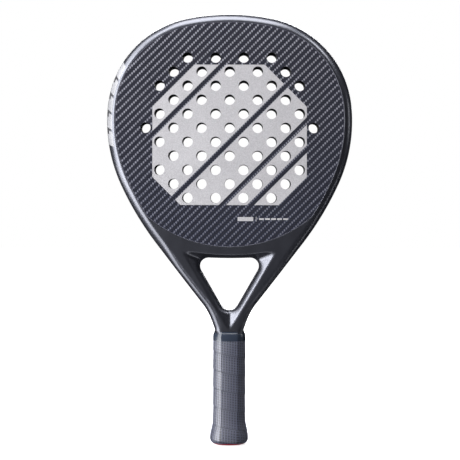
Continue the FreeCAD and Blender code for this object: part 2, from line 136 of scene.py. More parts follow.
CREASE_DEPTH = 0.3  # the crease where one turn overlaps the next
CREASE_EDGE = (0.1, 0.55)
CREASE_PAINTED_SHADE = 0.7  # how dark the painted shade in the crease is, where a perforation's middle is 1
LIP_DROP = 2.4  # from the tape's upper edge down to the lip of its last turn
LIP_SLANT = 0.7
LIP_RUN = 5.0  # where round the handle the lip is highest
LIP_EDGE = (-0.12, 0.28)
LIP_STEP = 0.32
TAPE_SINK = 0.05
CORD_HOLE_RADIUS = 2.5
CORD_HOLE_X = 6.0


# ==== outlines

def polar(centre, radius, heading):
    """The point at a heading and a distance from a centre."""
    angle = math.radians(heading)
    return (centre[0] + radius * math.sin(angle), centre[1] + radius * math.cos(angle))


def head_arcs():
    """The head's arcs as (centre, radius, first heading, last heading), then where they end."""
    arcs = []
    end = (0.0, LENGTH)
    heading = 0.0
    for radius, turn in HEAD_ARCS:
        centre = polar(end, -radius, heading)
        arcs.append((centre, radius, heading, heading + turn))
        heading += turn
        end = polar(centre, radius, heading)
    return arcs, end, heading


ARCS, FLANK_TOP, FLANK_HEADING = head_arcs()
FLANK_FOOT = polar(FLANK_TOP, FLANK_LENGTH, FLANK_HEADING + 90)
NECK_CENTRE = polar(FLANK_FOOT, NECK_RADIUS, FLANK_HEADING)
NECK_FOOT = polar(NECK_CENTRE, -NECK_RADIUS, NECK_HEADING)


def arc_points(centre, radius, first, last, spacing):
    """Points along an arc with the heading of each, without the last one."""
    steps = max(2, round(abs(radius * math.radians(last - first)) / spacing))
    headings = [first + (last - first) * i / steps for i in range(steps)]
    return [(polar(centre, radius, heading), heading) for heading in headings]


def moved_arc(arc, spacing, outset):
    """Points along an arc whose radius has grown by outset, as many as on the arc itself."""
    centre, radius, _, _ = arc
    return [polar(centre, radius + outset, heading) for _, heading in arc_points(*arc, spacing)]


def between(start, end, share):
    """The point at a share of the way from one point to another."""
    return (start[0] + (end[0] - start[0]) * share, start[1] + (end[1] - start[1]) * share)


def line_points(start, end, heading, spacing):
    """Points along a line that share a heading, without the last one."""
    steps = max(1, round(math.dist(start, end) / spacing))
    return [(between(start, end, i / steps), heading) for i in range(steps)]


def outer_stations():
    """The right half of the outline from the tip to the handle's end: points, and the directions
    that lead inwards."""
    spacing = OUTLINE_SPACING
    stations = []
    for centre, radius, first, last in ARCS:
        stations += arc_points(centre, radius, first, last, spacing)
    stations += line_points(FLANK_TOP, FLANK_FOOT, FLANK_HEADING, spacing)
    stations += arc_points(NECK_CENTRE, -NECK_RADIUS, FLANK_HEADING, NECK_HEADING, spacing)
    reach = NECK_FILLET * math.tan(math.radians((NECK_HEADING - 90) / 2))
    run = (NECK_FOOT[0] - HANDLE_HALF_WIDTH) / math.sin(math.radians(NECK_HEADING - 90))
    fillet_start = polar(NECK_FOOT, run - reach, NECK_HEADING + 90)
    fillet_centre = polar(fillet_start, NECK_FILLET, NECK_HEADING)
    stations += line_points(NECK_FOOT, fillet_start, NECK_HEADING, spacing)
    stations += arc_points(fillet_centre, -NECK_FILLET, NECK_HEADING, 90.0, spacing / 2)
    handle_start = (HANDLE_HALF_WIDTH, fillet_centre[1])
    handle_end = (HANDLE_HALF_WIDTH, HANDLE_END)
    stations += line_points(handle_start, handle_end, 90.0, 2 * spacing)
    stations.append((handle_end, 90.0))
    points = np.array([point for point, _ in stations])
    headings = np.radians([heading for _, heading in stations])
    inwards = -np.column_stack([np.sin(headings), np.cos(headings)])
    return points, inwards


def both_sides(right, meets=False):
    """A closed loop of points from its right half, which starts on the centre line and, where the
    two sides meet, ends there too."""
    right = np.array(right)
    left = right[-2 if meets else None:0:-1] * np.array([-1.0, 1.0])
    return np.vstack([right, left])


def circle_meeting(centre_a, radius_a, centre_b, radius_b):
    """The lower right crossing point of two circles."""
    gap = math.dist(centre_a, centre_b)
    along = (radius_a ** 2 - radius_b ** 2 + gap ** 2) / (2 * gap)
    aside = math.sqrt(radius_a ** 2 - along ** 2)
    ux = (centre_b[0] - centre_a[0]) / gap
    uz = (centre_b[1] - centre_a[1]) / gap
    middle = (centre_a[0] + along * ux, centre_a[1] + along * uz)
    crossings = [(middle[0] + aside * uz, middle[1] - aside * ux),
                 (middle[0] - aside * uz, middle[1] + aside * ux)]
    return min(crossings, key=lambda point: point[1])


def heading_of(centre, point):
    """The heading from a centre to a point."""
    return math.degrees(math.atan2(point[0] - centre[0], point[1] - centre[1]))


def panel_ring(inset):
    """A face panel's edge as a closed loop moved inwards, with as many points for every inset."""
    last_centre, last_radius, last_first, _ = ARCS[-1]
    foot_centre = (0.0, PANEL_FOOT_Z + PANEL_FOOT_RADIUS)
    corner_centre = circle_meeting(last_centre, last_radius - RIM_WIDTH - PANEL_CORNER_RADIUS,
                                   foot_centre, PANEL_FOOT_RADIUS - PANEL_CORNER_RADIUS)
    corner_first = heading_of(last_centre, corner_centre)
    corner_last = heading_of(foot_centre, corner_centre)
    arcs = [(centre, radius - RIM_WIDTH, first, last) for centre, radius, first, last in ARCS[:-1]]
    arcs += [(last_centre, last_radius - RIM_WIDTH, last_first, corner_first),
             (corner_centre, PANEL_CORNER_RADIUS, corner_first, corner_last),
             (foot_centre, PANEL_FOOT_RADIUS, corner_last, 180.0)]
    right = [point for arc in arcs for point in moved_arc(arc, OUTLINE_SPACING, -inset)]
    return both_sides(right + [(0.0, PANEL_FOOT_Z + inset)], meets=True)


def opening_ring(outset):
    """The throat opening's edge as a closed loop, moved outwards."""
    slope = math.radians(OPENING_SLOPE)
    side_heading = 90 + OPENING_SLOPE
    rise = OPENING_APEX_Z + OPENING_HALF_WIDTH / math.tan(slope) - OPENING_CROWN_Z
    crown_radius = (OPENING_HALF_WIDTH ** 2 + rise ** 2) / (2 * rise)
    crown_centre = (0.0, OPENING_CROWN_Z + crown_radius)
    foot_centre = (0.0, OPENING_APEX_Z + OPENING_FOOT_RADIUS / math.sin(slope))
    corner_z = OPENING_CROWN_Z - OPENING_CORNER_RADIUS
    corner_reach = crown_radius + OPENING_CORNER_RADIUS
    for _ in range(20):  # settles on the corner arc's centre
        away = (corner_z - OPENING_APEX_Z) * math.sin(slope) - OPENING_CORNER_RADIUS
        corner_x = away / math.cos(slope)
        corner_z = crown_centre[1] - math.sqrt(corner_reach ** 2 - corner_x ** 2)
    corner_centre = (corner_x, corner_z)
    crown_heading = heading_of(corner_centre, crown_centre)
    foot = (foot_centre, OPENING_FOOT_RADIUS, 180.0, side_heading)
    corner = (corner_centre, OPENING_CORNER_RADIUS, side_heading, crown_heading)
    crown = (crown_centre, crown_radius, heading_of(crown_centre, corner_centre), 180.0)
    foot_end = polar(foot_centre, OPENING_FOOT_RADIUS + outset, side_heading)
    corner_start = polar(corner_centre, OPENING_CORNER_RADIUS + outset, side_heading)
    side = line_points(foot_end, corner_start, side_heading, OPENING_SPACING)
    right = moved_arc(foot, OPENING_SPACING, outset) + [point for point, _ in side]
    right += moved_arc(corner, OPENING_SPACING, outset)
    right += moved_arc(crown, OPENING_SPACING, -outset)
    return both_sides(right + [(0.0, OPENING_CROWN_Z + outset)], meets=True)


def inside(points, loop):
    """Which points lie inside a closed loop of points."""
    x, z = points[:, 0:1], points[:, 1:2]
    x1, z1 = loop[:, 0], loop[:, 1]
    x2, z2 = np.roll(x1, -1), np.roll(z1, -1)
    spans = (z1 > z) != (z2 > z)
    rise = np.where(z2 == z1, 1e-12, z2 - z1)
    crossing = x1 + (z - z1) / rise * (x2 - x1)
    return (np.sum(spans & (x < crossing), axis=1) % 2) == 1


# ==== surface heights of the frame

def soft_step(value, low, high):
    """0 below low, 1 above high and a smooth curve between."""
    share = np.clip((value - low) / (high - low), 0, 1)
    return share * share * (3 - 2 * share)


def soft_positive(value, reach):
    """value where it is positive and 0 where it is negative, rounded off around 0."""
    rounded = (value + reach) ** 2 / (4 * reach)
    return np.where(value <= -reach, 0.0, np.where(value >= reach, value, rounded))


def soft_min(a, b, reach):
    """The lower of two values, rounded off where they cross."""
    return a - soft_positive(a - b, reach)


def taper(z, at_handle, at_head):
    """A value that runs evenly from the handle's top to the head, with softened ends."""
    span = TAPER_TOP - HANDLE_TOP
    foot, head = TAPER_SOFTNESS
    up = soft_positive(z - HANDLE_TOP, foot) - soft_positive(z - TAPER_TOP, head)
    return at_handle + (at_head - at_handle) * np.clip(up / span, 0, 1)


def shoulder_size(z):
    """Width, depth and superellipse power of the shoulder at a level."""
    sizes = np.array([HANDLE_SHOULDER, NECK_SHOULDER, ARM_SHOULDER, RIM_SHOULDER])
    size = np.broadcast_to(sizes[0], (len(z), 3))
    for (low, high), above, below in zip((NECK_FOOT_LEVELS, ARM_FOOT, ARM_HEAD), sizes[1:], sizes):
        size = size + (above - below) * soft_step(z, low, high)[:, None]
    return size.T


def bevel_depth(x, z):
    """How deep the bevels around the opening lie below the face."""
    slope = math.radians(BEVEL_SLOPE)
    corner_x = (BEVEL_CORNER_Z - BEVEL_APEX_Z) * math.tan(slope)
    rise = BEVEL_CORNER_Z - BEVEL_CROWN_Z
    crown_radius = (corner_x ** 2 + rise ** 2) / (2 * rise)
    beside = np.sqrt(x ** 2 + VALLEY_SOFTNESS ** 2)
    from_side = (z - BEVEL_APEX_Z) * math.sin(slope) - beside * math.cos(slope)
    from_bridge = np.hypot(x, BEVEL_CROWN_Z + crown_radius - z) - crown_radius
    side = from_side * math.tan(math.radians(BEVEL_SIDE_PITCH))
    bridge = from_bridge * math.tan(math.radians(BEVEL_BRIDGE_PITCH))
    return soft_positive(soft_min(side, bridge, BEVEL_BLEND), RIDGE_SOFTNESS)


def face_height(x, z):
    """The distance of the frame's face from the mid-plane."""
    return taper(z, HANDLE_HALF_DEPTH, HALF_DEPTH) - bevel_depth(x, z)


# ==== meshes

MERGE_DISTANCE = 1e-6


class Shape:
    """Collects points and faces in millimetres and makes a Blender object of them."""

    def __init__(self):
        self.points = []
        self.faces = []

    def add(self, points):
        """Adds an array of points and returns their numbers."""
        first = len(self.points)
        self.points += [tuple(point) for point in points]
        return list(range(first, len(self.points)))

    def ring(self, loop, y):
        """Adds a loop of (x, z) points at a depth, or at one depth per point."""
        depths = np.broadcast_to(y, len(loop))
        return self.add(np.column_stack([loop[:, 0], depths, loop[:, 1]]))

    def join(self, ring_a, ring_b, closed=True):
        """Joins two rings of equal length with quads."""
        count = len(ring_a)
        for i in range(count if closed else count - 1):
            k = (i + 1) % count
            self.faces.append((ring_a[i], ring_a[k], ring_b[k], ring_b[i]))

    def join_all(self, rings, closed=True):
        """Joins each ring to the next."""
        for ring_a, ring_b in zip(rings, rings[1:]):
            self.join(ring_a, ring_b, closed)

    def build(self, name, material, sharp):
        """Makes the object, smooth apart from edges sharper than an angle in degrees."""
        mesh = bpy.data.meshes.new(name)
        mesh.from_pydata((np.array(self.points) / METRE).tolist(), [], self.faces)
        face_outwards(mesh)
        mesh.shade_smooth()
        mesh.set_sharp_from_angle(angle=math.radians(sharp))
        mesh.materials.append(material)
        piece = bpy.data.objects.new(name, mesh)
        bpy.context.scene.collection.objects.link(piece)
        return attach(piece, "root")


def face_outwards(mesh):
    """Turns every face of a closed mesh to look outwards."""
    work = bmesh.new()
    work.from_mesh(mesh)
    bmesh.ops.recalc_face_normals(work, faces=work.faces)
    work.to_mesh(mesh)
    work.free()


def circle(centre, radius, count=40):
    """Points round a circle."""
    angles = 2 * math.pi * np.arange(count) / count
    return np.column_stack([centre[0] + radius * np.cos(angles),
                            centre[1] + radius * np.sin(angles)])


def fill(loops, grid=()):
    """Triangles between an outer loop and the holes inside it. The points come back in the order
    of the loops, then of an optional grid of points inside."""
    edges = []
    first = 0
    for loop in loops:
        count = len(loop)
        edges += [(first + i, first + (i + 1) % count) for i in range(count)]
        first += count
    points = np.vstack([*loops, *grid])
    found = geometry.delaunay_2d_cdt([Vector(point) for point in points], edges, [], 0,
                                     MERGE_DISTANCE)
    numbers = [same[0] if same else None for same in found[3]]
    faces = [[numbers[k] for k in face] for face in found[2]]
    faces = [face for face in faces if None not in face]
    centres = np.array([points[face].mean(0) for face in faces])
    wanted = inside(centres, loops[0])
    for hole in loops[1:]:
        wanted &= ~inside(centres, hole)
    return points, [face for face, keep in zip(faces, wanted) if keep]


# ==== frame

SHOULDER_STEPS = 12


def shoulder_rings(shape, points, inwards):
    """The rounded shoulders from the side wall to the faces: the front's rings, the rear's rings
    and the last rings' loop."""
    width, depth, power = shoulder_size(points[:, 1])
    face = taper(points[:, 1], HANDLE_HALF_DEPTH, HALF_DEPTH)
    front, rear = [], []
    for step in range(SHOULDER_STEPS + 1):
        angle = math.radians(90 * step / SHOULDER_STEPS)
        inward = 1 - math.cos(angle) ** (2 / power)
        outward = np.sin(angle) ** (2 / power)
        right = points + inwards * (width * inward)[:, None]
        half = face - depth * (1 - outward) - bevel_depth(right[:, 0], right[:, 1])
        loop = both_sides(right)
        heights = np.concatenate([half, half[:0:-1]])
        front.append(shape.ring(loop, -heights))
        rear.append(shape.ring(loop, heights))
    return front, rear, loop


GRID_SPACING = 0.85
GRID_LEVELS = (HANDLE_TOP - 12.0, PANEL_FOOT_Z + 52.0)
GRID_HALF_WIDTH = 110.0
GRID_CLEARANCE = 0.75  # smallest gap to a loop, in grid spacings


def face_grid(outer, panel, opening):
    """Points of an even triangular grid on the throat's face, clear of the three loops."""
    rows = np.arange(*GRID_LEVELS, GRID_SPACING * math.sqrt(3) / 2)
    columns = np.arange(-GRID_HALF_WIDTH, GRID_HALF_WIDTH, GRID_SPACING)
    points = []
    for number, z in enumerate(rows):
        shift = GRID_SPACING / 2 * (number % 2)
        points += [(x + shift, z) for x in columns]
    points = np.array(points)
    points = points[inside(points, outer) & ~inside(points, panel) & ~inside(points, opening)]
    border = np.vstack([outer, panel, opening])
    gaps = [np.sqrt(((border - point) ** 2).sum(1)).min() for point in points]
    return points[np.array(gaps) > GRID_CLEARANCE * GRID_SPACING]


def painted_frame(material):
    """The whole frame as one painted skin: rim, arms, bridge and the tube inside the grip."""
    shape = Shape()
    points, inwards = outer_stations()
    front, rear, outer = shoulder_rings(shape, points, inwards)
    shape.join_all(front[::-1] + rear)
    panel = panel_ring(-GROOVE_WIDTH)
    opening = opening_ring(OPENING_EDGE)
    sheet, triangles = fill([outer, panel, opening], [face_grid(outer, panel, opening)])
    inner = sheet[len(outer):]
    heights = face_height(inner[:, 0], inner[:, 1])
    panel_end = len(outer) + len(panel)
    opening_end = panel_end + len(opening)
    ledges, walls = [], []
    for side, rings in ((-1, front), (1, rear)):
        numbers = rings[-1] + shape.ring(inner, side * heights)
        shape.faces += [tuple(numbers[k] for k in face) for face in triangles]
        ledges.append(panel_ledge(shape, side, numbers[len(outer):panel_end]))
        walls.append(round_opening_edge(shape, side, numbers[panel_end:opening_end]))
    shape.join_all(ledges)
    shape.join_all(walls)
    piece = shape.build("painted_frame", material, sharp=50.0)
    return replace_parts(piece, "frame_tube", "throat_bridge")


def panel_ledge(shape, side, panel_numbers):
    """The fine groove around a panel and the ledge under the plies: the ledge's inner ring."""
    edge = panel_ring(0.0)
    lip = shape.ring(edge, side * (HALF_DEPTH - GROOVE_DEPTH))
    step = shape.ring(edge, side * CORE_HALF_DEPTH)
    ledge = shape.ring(panel_ring(LEDGE_WIDTH), side * CORE_HALF_DEPTH)
    shape.join_all([panel_numbers, lip, step, ledge])
    return ledge


def round_opening_edge(shape, side, last):
    """Rings that roll from the bevels into the opening's wall: the innermost one."""
    for step in range(1, OPENING_EDGE_STEPS + 1):
        angle = math.radians(90 * step / OPENING_EDGE_STEPS)
        outset = OPENING_EDGE * (1 - math.sin(angle))
        drop = OPENING_EDGE * (1 - math.cos(angle))
        loop = opening_ring(outset)
        heights = face_height(loop[:, 0], loop[:, 1]) - drop
        ring = shape.ring(loop, side * heights)
        shape.join(last, ring)
        last = ring
    return last


# ==== handle dressing

FLAT_SPACING = 0.36  # between points round the handle
WRAP_ROW_SPACING = 0.36  # between rings up the handle
TAPE_ROW_SPACING = 0.24
CORNER_POINTS = 5
WRAP_UNDER_TAPE = 0.4  # how far the wrap runs on under the tape
STRAIGHT_HALF_WIDTH = 16.5
CORNER_SOFTNESS = 2.2  # the octagon's corner radius on the straight grip
FLARE_SOFTNESS = 1.2  # and how fast it grows with the half width on the flare
PLATE_SOFTNESS = 5.0
PLATE_RINGS = 12
FLAT_CROWN = 0.6  # how far the wrap bulges over the middle of each flat
INNER_ROWS = 12  # rings on a sleeve's hidden inside
INNER_GAP = 0.03


def smooth_profile(profile, z):
    """Half widths at many levels from a few (level, half width) pairs, joined by smooth curves."""
    levels = np.array([level for level, _ in profile])
    widths = np.array([width for _, width in profile])
    rise = np.diff(widths) / np.diff(levels)
    slopes = np.concatenate([rise[:1], (rise[1:] + rise[:-1]) / 2, rise[-1:]])
    slopes[1:-1][rise[1:] * rise[:-1] <= 0] = 0.0
    k = np.clip(np.searchsorted(levels, z) - 1, 0, len(levels) - 2)
    span = levels[k + 1] - levels[k]
    t = (z - levels[k]) / span
    return ((1 + 2 * t) * (1 - t) ** 2 * widths[k] + t * (1 - t) ** 2 * span * slopes[k]
            + t ** 2 * (3 - 2 * t) * widths[k + 1] - t ** 2 * (1 - t) * span * slopes[k + 1])


def octagon_corner(side_a, side_b, inset):
    """Where two neighbouring sides meet after both are moved inwards."""
    (ax, ay), a = side_a
    (bx, by), b = side_b
    det = ax * by - ay * bx
    a -= inset
    b -= inset
    return ((a * by - b * ay) / det, (b * ax - a * bx) / det)


def rounded_octagon(half_x, softness):
    """The octagon around the handle: its sides as (outward direction, distance from the centre),
    from +X towards +Y, and the centres of its rounded corners."""
    half_y = half_x - HANDLE_HALF_WIDTH + HANDLE_HALF_DEPTH
    chamfer = HANDLE_SHOULDER[0] * half_x / HANDLE_HALF_WIDTH
    slant = (half_x + half_y - chamfer) / math.sqrt(2)
    sides = []
    for k, distance in enumerate([half_x, slant, half_y, slant] * 2):
        angle = math.pi / 4 * k
        sides.append(((math.cos(angle), math.sin(angle)), distance))
    return sides, [octagon_corner(sides[k], sides[(k + 1) % 8], softness) for k in range(8)]


def octagon_ring(half_x, softness, counts):
    """A rounded octagon around the handle: its points and outward directions, from the front end
    of the +X side round towards +Y."""
    sides, corners = rounded_octagon(half_x, softness)
    points, directions = [], []
    for k in range(8):
        (nx, ny), _ = sides[k]
        start, end = corners[k - 1], corners[k]
        for i in range(counts[k]):
            share = i / counts[k]
            out = softness + FLAT_CROWN * 4 * share * (1 - share)
            x, y = between(start, end, share)
            points.append((x + nx * out, y + ny * out))
            directions.append((nx, ny))
        for i in range(CORNER_POINTS):
            angle = math.pi / 4 * (k + i / CORNER_POINTS)
            nx, ny = math.cos(angle), math.sin(angle)
            points.append((end[0] + nx * softness, end[1] + ny * softness))
            directions.append((nx, ny))
    return np.array(points), np.array(directions)


def flat_counts(half_x, softness):
    """How many points each side of the octagon gets, so that they are evenly spaced."""
    _, corners = rounded_octagon(half_x, softness)
    return [max(3, round(math.dist(corners[k - 1], corners[k]) / FLAT_SPACING)) for k in range(8)]


def at_level(ring, z):
    """A ring of (x, y) points as (x, y, z) points."""
    return np.column_stack([ring, np.full(len(ring), z)])


def run_round(points):
    """The distance along a closed ring from its first point, and the ring's whole length."""
    steps = np.hypot(*(np.roll(points, -1, axis=0) - points).T)
    return np.concatenate([[0.0], np.cumsum(steps)[:-1]]), steps.sum()


def wrap_relief(run, length, z):
    """The grip strip's height above its backing and how far into a perforation or crease a point
    lies, which the grip's colour turns into painted shade, for points at a distance round the
    handle from the front's middle, and a level."""
    turn = (z - WRAP_SEAM_Z) / WRAP_PITCH + run / length
    phase = turn % 1.0
    lap = WRAP_STEP * (1 - phase) * soft_step(phase, 0.0, LAP_RAMP)
    along = run - np.floor(turn) * length
    across = phase * WRAP_PITCH
    near = np.hypot((along / PIT_ALONG) % 1.0 * PIT_ALONG - PIT_ALONG / 2,
                    (across / PIT_ACROSS) % 1.0 * PIT_ACROSS - PIT_ACROSS / 2)
    begins = soft_step(across, *PIT_FADE_LOW)
    ends = soft_step(across, WRAP_PITCH - PIT_FADE_HIGH[0], WRAP_PITCH - PIT_FADE_HIGH[1])
    pit_and_painted_shade = np.clip(1 - (near / PIT_RADIUS) ** 2, 0, 1) * (begins * (1 - ends))
    crease = 1 - soft_step(np.minimum(across, WRAP_PITCH - across), *CREASE_EDGE)
    height = lap - PIT_DEPTH * pit_and_painted_shade - CREASE_DEPTH * crease
    # the second value is painted shade: full in the perforations, weaker in the creases
    return height, np.maximum(pit_and_painted_shade, CREASE_PAINTED_SHADE * crease)


def sleeve(profile, low, high, row_spacing, softness, relief):
    """A sleeve around the handle with a relief on its outside: its shape and the painted shade of
    its perforations and creases at each point.
    """
    shape = Shape()
    rows = np.linspace(low, high, round((high - low) / row_spacing) + 1)
    widths = smooth_profile(profile, rows)
    nominal = widths[-1]
    counts = flat_counts(nominal, softness(nominal))
    rings, painted_pit_and_crease_shades = [], []
    nominal_ring, _ = octagon_ring(nominal, softness(nominal), counts)
    run, length = run_round(nominal_ring)
    front = np.where(nominal_ring[:, 1] < 0, np.abs(nominal_ring[:, 0]), np.inf)
    run = run - run[front.argmin()]
    for z, half_x in zip(rows, widths):
        ring, directions = octagon_ring(half_x, softness(half_x), counts)
        height, pit_and_painted_shade = relief(run, length, np.full(len(run), z))
        ring = ring + directions * height[:, None]
        rings.append(shape.add(at_level(ring, z)))
        painted_pit_and_crease_shades.append(pit_and_painted_shade)
    inner = []
    for k in np.linspace(len(rows) - 1, 0, INNER_ROWS).astype(int):
        half_x = max(widths[k] - WRAP_THICKNESS, HANDLE_HALF_WIDTH + INNER_GAP)
        ring, _ = octagon_ring(half_x, softness(half_x), counts)
        inner.append(shape.add(at_level(ring, rows[k])))
        painted_pit_and_crease_shades.append(np.zeros(len(ring)))
    shape.join_all(rings + inner + rings[:1])
    return shape, np.concatenate(painted_pit_and_crease_shades)


def grip_softness(half_x):
    """The octagon's corner radius: the flare at the butt is rounder than the straight grip."""
    return CORNER_SOFTNESS + FLARE_SOFTNESS * max(0.0, half_x - STRAIGHT_HALF_WIDTH)


def grip_wrap(material):
    """The wound, perforated grip."""
    shape, painted_pit_and_crease_shades = sleeve(GRIP_PROFILE, GRIP_LOW.z, TAPE_LOW.z + WRAP_UNDER_TAPE, WRAP_ROW_SPACING,
                         grip_softness, wrap_relief)
    piece = shape.build("grip_wrap", material, sharp=70.0)
    # painted shade in the perforations and creases, read by the grip's finish
    attribute = piece.data.attributes.new("pit_and_painted_shade", "FLOAT", "POINT")
    attribute.data.foreach_set("value", painted_pit_and_crease_shades.astype(np.float32))
    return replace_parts(piece, "grip")


def tape_relief(run, length, z):
    """The finishing tape's second turn ends in a slanting lip near its upper edge."""
    lip = TAPE_HIGH.z - LIP_DROP + LIP_SLANT * np.cos(2 * math.pi * (run - LIP_RUN) / length)
    step = 1 - soft_step(z, lip + LIP_EDGE[0], lip + LIP_EDGE[1])
    return LIP_STEP * step - TAPE_SINK, np.zeros(len(run))


def finishing_tape(material):
    """The glossy tape that holds down the grip's end."""
    shape, _ = sleeve(TAPE_PROFILE, TAPE_LOW.z, TAPE_HIGH.z, TAPE_ROW_SPACING, grip_softness,
                      tape_relief)
    piece = shape.build("tape_wrap", material, sharp=60.0)
    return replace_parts(piece, "finishing_tape")


def butt_end(material):
    """The domed end plate with its two cord holes."""
    shape = Shape()
    counts = flat_counts(PLATE_PROFILE[-1][1], PLATE_SOFTNESS)
    levels = np.linspace(PLATE_LOW.z, PLATE_HIGH.z, PLATE_RINGS)
    rings = []
    for z, half_x in zip(levels, smooth_profile(PLATE_PROFILE, levels)):
        ring, _ = octagon_ring(half_x, PLATE_SOFTNESS, counts)
        rings.append(shape.add(at_level(ring, z)))
    shape.join_all(rings)
    holes = [circle((x, 0.0), CORD_HOLE_RADIUS) for x in (-CORD_HOLE_X, CORD_HOLE_X)]
    hole_rings = []
    for rim, z in ((rings[0], PLATE_LOW.z), (rings[-1], PLATE_HIGH.z)):
        outline = np.array([shape.points[number][:2] for number in rim])
        edges = [shape.add(at_level(hole, z)) for hole in holes]
        numbers = rim + edges[0] + edges[1]
        _, triangles = fill([outline] + holes)
        shape.faces += [tuple(numbers[k] for k in face) for face in triangles]
        hole_rings.append(edges)
    for low_edge, high_edge in zip(*hole_rings):
        shape.join(low_edge, high_edge)
    piece = shape.build("butt_end", material, sharp=40.0)
    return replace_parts(piece, "butt_plate")


# ==== marks on the rim and panel edges

MARK_FIRST_HEADING = 57.0  # the row of blocks on the left shoulder
MARK_COUNT = 5
MARK_LENGTH = 16.1
MARK_GAP = 2.6
MARK_SLANT = 4.0
MARK_LEVELS = (20.0, 68.0)  # from the side wall (0) to the face (90), in degrees
MARK_LIFT = 0.06
MARK_SPACING = 1.2  # between a mark's points along the rim
MARK_LEVEL_STEPS = 8
TICK_LEVELS = (20.0, 55.0)
HOOK_LENGTH = 7.0  # each tick turns and runs on along the block's outer edge
HOOK_LEVELS = (18.0, 38.0)
SEAM_LIFT = 0.05  # the resin bead around a panel: above the face and below it
SEAM_WIDTH = 0.45


def shoulder_point(travel, level, lift):
    """A point on the head's front left shoulder: how far along the rim from its first heading,
    at which level of the shoulder's curve, lifted off it."""
    heading = MARK_FIRST_HEADING
    for centre, radius, first, last in ARCS:
        if heading >= last:
            continue
        room = radius * math.radians(last - heading)
        if travel <= room:
            heading += math.degrees(travel / radius)
            break
        travel -= room
        heading = last
    angle = math.radians(level)
    inward = RIM_SHOULDER[0] * (1 - math.cos(angle) ** (2 / RIM_SHOULDER[2]))
    drop = RIM_SHOULDER[1] * (1 - math.sin(angle) ** (2 / RIM_SHOULDER[2]))
    x, z = polar(centre, radius - inward + lift * math.cos(angle), heading)
    return (-x, -(HALF_DEPTH - drop + lift * math.sin(angle)), z)


def rim_patch(shape, start, length, levels, lift):
    """Adds a thin slanted slab to the left shoulder: where it starts along the rim, its length and
    the levels of the shoulder's curve that it spans."""
    along_steps = max(2, round(length / MARK_SPACING))
    low, high = levels
    layers = []
    for height in (lift, 0.0):
        rows = []
        for i in range(along_steps + 1):
            row = []
            for j in range(MARK_LEVEL_STEPS + 1):
                level = low + (high - low) * j / MARK_LEVEL_STEPS
                slant = MARK_SLANT * (level - MARK_LEVELS[0]) / (MARK_LEVELS[1] - MARK_LEVELS[0])
                row.append(shoulder_point(start + length * i / along_steps + slant, level, height))
            rows.append(shape.add(row))
        layers.append(rows)
    top, base = layers
    shape.join_all(top, closed=False)
    shape.join_all(base, closed=False)
    for k in (0, -1):
        shape.join(top[k], base[k], closed=False)
        shape.join([row[k] for row in top], [row[k] for row in base], closed=False)


def rim_marks(pale_ink, dark_ink):
    """A row of plain slanted blocks printed on the rim's left shoulder, with dark hooked ticks
    between them."""
    blocks, ticks = Shape(), Shape()
    start = 0.0
    for number in range(MARK_COUNT):
        rim_patch(blocks, start, MARK_LENGTH, MARK_LEVELS, MARK_LIFT)
        if number > 0:
            rim_patch(ticks, start - MARK_GAP, MARK_GAP, TICK_LEVELS, MARK_LIFT)
            rim_patch(ticks, start - MARK_GAP, HOOK_LENGTH, HOOK_LEVELS, 2 * MARK_LIFT)
        start += MARK_LENGTH + MARK_GAP
    pale = blocks.build("rim_blocks", pale_ink, sharp=60.0)
    ticks.build("rim_ticks", dark_ink, sharp=60.0)


def panel_seams(material):
    """The fine bead of clear resin along the edge of each face panel."""
    shape = Shape()
    for side in (-1, 1):
        insets = (-SEAM_WIDTH / 3, SEAM_WIDTH / 3, SEAM_WIDTH)
        lifts = (-SEAM_LIFT, SEAM_LIFT, -SEAM_LIFT)
        rings = [shape.ring(panel_ring(inset), side * (HALF_DEPTH + lift))
                 for inset, lift in zip(insets, lifts)]
        shape.join_all(rings + rings[:1])
    shape.build("panel_seams", material, sharp=80.0)


# ==== materials

# The colours of each finish, dark end first.
RESIN_WITH_PAINTED_TINT = ((0.014, 0.018, 0.038), (0.019, 0.019, 0.026))  # at the head's foot, where a painted tint of cool light makes it bluer, and above
LEVEL_TOW = ((0.016, 0.017, 0.026), (0.030, 0.031, 0.046))
# painted highlight: the glint on the crests of the upright tows
PAINTED_TOW_GLINT = (0.38, 0.38, 0.44)
FILM_INK = ((0.37, 0.36, 0.37), (0.54, 0.53, 0.54))
RIM_INK = ((0.26, 0.26, 0.27), (0.36, 0.36, 0.37))
DARK_INK = ((0.02, 0.02, 0.022), (0.04, 0.04, 0.044))
LACQUER = ((0.084, 0.087, 0.105), (0.102, 0.106, 0.126))
FLAKE = (0.20, 0.20, 0.23)
EVA_FOAM = ((0.010, 0.010, 0.011), (0.026, 0.026, 0.028))
GLASS = ((0.10, 0.11, 0.10), (0.20, 0.22, 0.20))
GRIP_SLATE = ((0.052, 0.057, 0.090), (0.072, 0.077, 0.114))
# painted shade inside the perforations and the creases between turns
PAINTED_PIT_SHADE = (0.004, 0.005, 0.010)
GRIP_SHEEN = (0.78, 0.81, 1.0, 1)
VINYL = ((0.020, 0.026, 0.040), (0.034, 0.044, 0.064))
CAP_PLASTIC = ((0.012, 0.012, 0.013), (0.022, 0.022, 0.024))
PLATE_PLASTIC = ((0.30, 0.010, 0.022), (0.42, 0.018, 0.034))
HANDLE_FOAM = ((0.40, 0.36, 0.26), (0.62, 0.57, 0.44))
SEAM_RESIN = ((0.04, 0.04, 0.06), (0.17, 0.17, 0.21))

